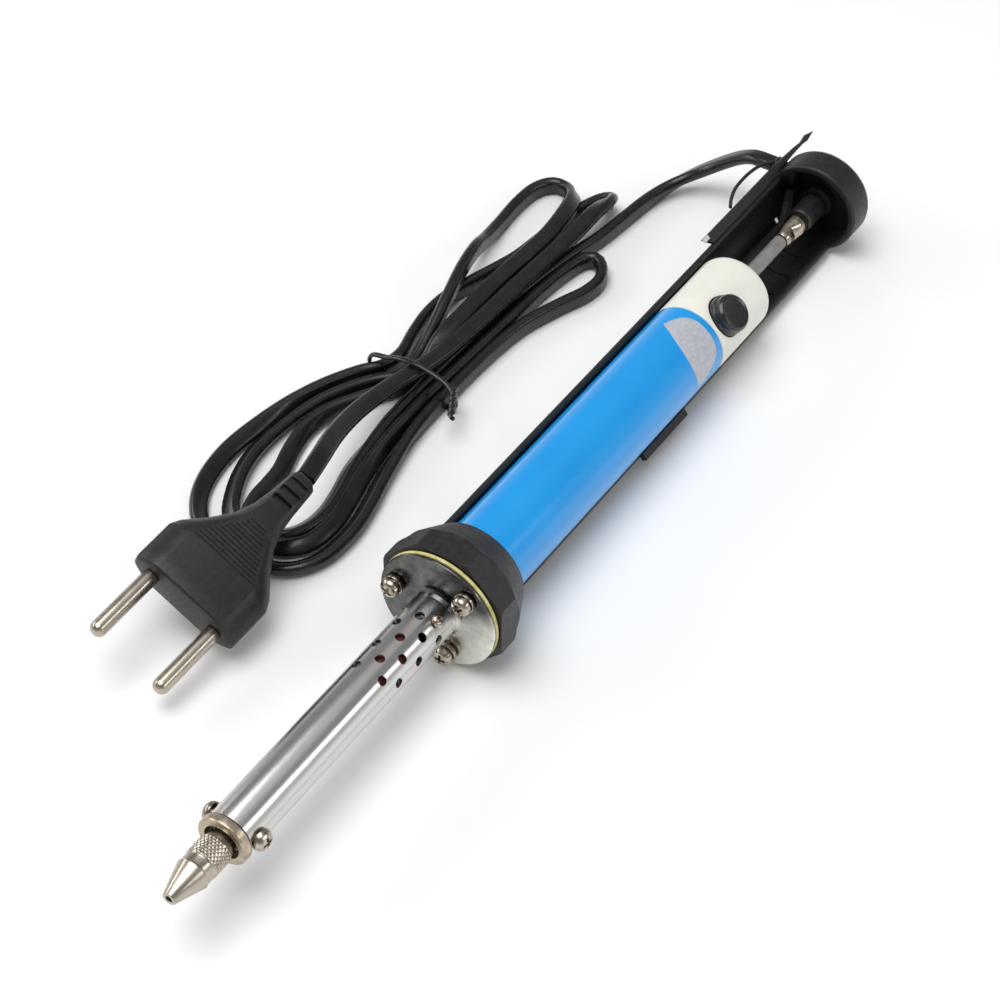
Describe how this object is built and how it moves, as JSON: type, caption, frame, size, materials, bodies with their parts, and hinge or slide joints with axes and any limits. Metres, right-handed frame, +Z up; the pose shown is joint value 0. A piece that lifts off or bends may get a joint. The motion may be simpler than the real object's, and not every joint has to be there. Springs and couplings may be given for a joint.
{
  "type": "desoldering pump",
  "caption": "Mains-heated desoldering pump: a hot suction nozzle on a vented tube, a spring pump with a release button, a half-round handle guard, and a bundled cord with a two-pin plug.",
  "frame": {"origin": "on the table, midway along the tool between the nozzle's tip and the blade's tip, under the pump's axis", "axes": "+X runs along the tool from the nozzle to the end cap, +Y points to the bundled cord, +Z is up from the table"},
  "size_m": [0.2807, 0.0935, 0.0311],
  "materials": {
    "nozzle_metal": "satin nickel, slightly warm",
    "tube_chrome": "polished, with fine turning marks",
    "flange_metal": "bright stamped disc",
    "screw_nickel": "bright nickel",
    "inner_steel": "plain drawn steel",
    "spring_steel": "oiled spring wire",
    "washer_yellow": "yellow insulating sheet",
    "heater_ceramic": "ceramic sleeve, dull",
    "nut_black": "fine moulded black plastic",
    "pump_blue": "glossy coloured tube with a plain grey label",
    "housing_cream": "glossy cream plastic",
    "button_black": "glossy black cap",
    "rod_grey": "dull grey rod",
    "ferrule_nickel": "crimped nickel sleeve",
    "handle_black": "fine moulded black plastic",
    "lead_red": "red lead insulation",
    "lead_black": "black lead insulation",
    "cord_black": "black twin flex, slight sheen",
    "plug_black": "moulded black plastic with grip ribs",
    "pin_nickel": "nickel-plated pin"
  },
  "bodies": {
    "tool": {"nozzle": "nozzle_metal", "barrel_front_ring": "nozzle_metal", "nozzle_holder": "inner_steel", "suction_tube": "inner_steel", "heating_element": "heater_ceramic", "heater_barrel": "tube_chrome", "barrel_side_screw_1": "screw_nickel", "barrel_side_screw_2": "screw_nickel", "flange_disc": "flange_metal", "neck_screw": "screw_nickel", "insulator_washer": "washer_yellow", "flange_screw_1": "screw_nickel", "flange_screw_2": "screw_nickel", "flange_screw_3": "screw_nickel", "lock_washer_1": "screw_nickel", "lock_washer_2": "screw_nickel", "lock_washer_3": "screw_nickel", "heater_lead_live": "lead_red", "heater_lead_neutral": "lead_black", "nose_nut": "nut_black", "barrel_front_plug": "housing_cream", "pump_barrel": "pump_blue", "latch_housing": "housing_cream", "button_spring": "spring_steel", "main_spring": "spring_steel", "handle_shell": "handle_black", "end_cap": "handle_black", "cord_grommet": "cord_black", "inner_cord": "cord_black", "side_blade": "handle_black", "wire_loop": "cord_black", "cord_lead": "cord_black", "cord_hank": "cord_black", "cord_tail": "cord_black", "twist_tie": "cord_black", "plug_body": "plug_black", "plug_pin_1": "pin_nickel", "plug_pin_2": "pin_nickel"},
    "plunger": {"plunger_rod": "rod_grey", "rod_ferrule": "ferrule_nickel", "plunger_boss": "handle_black", "piston": "nut_black", "piston_seal": "cord_black"},
    "button": {"release_button": "button_black", "latch_plate": "inner_steel"}
  },
  "joints": [
    {"name": "plunger_slide", "type": "slide", "parent": "tool", "child": "plunger", "axis": [-0.9998, 0, 0.0191], "range_m": [0, 0.02], "stiffness_N_per_m": 250, "springref_m": -0.02, "deforming": ["main_spring"]},
    {"name": "button_press", "type": "slide", "parent": "tool", "child": "button", "axis": [-0.0135, 0.7071, -0.707], "range_m": [0, 0.002], "stiffness_N_per_m": 500, "springref_m": -0.001, "deforming": ["button_spring"]}
  ]
}
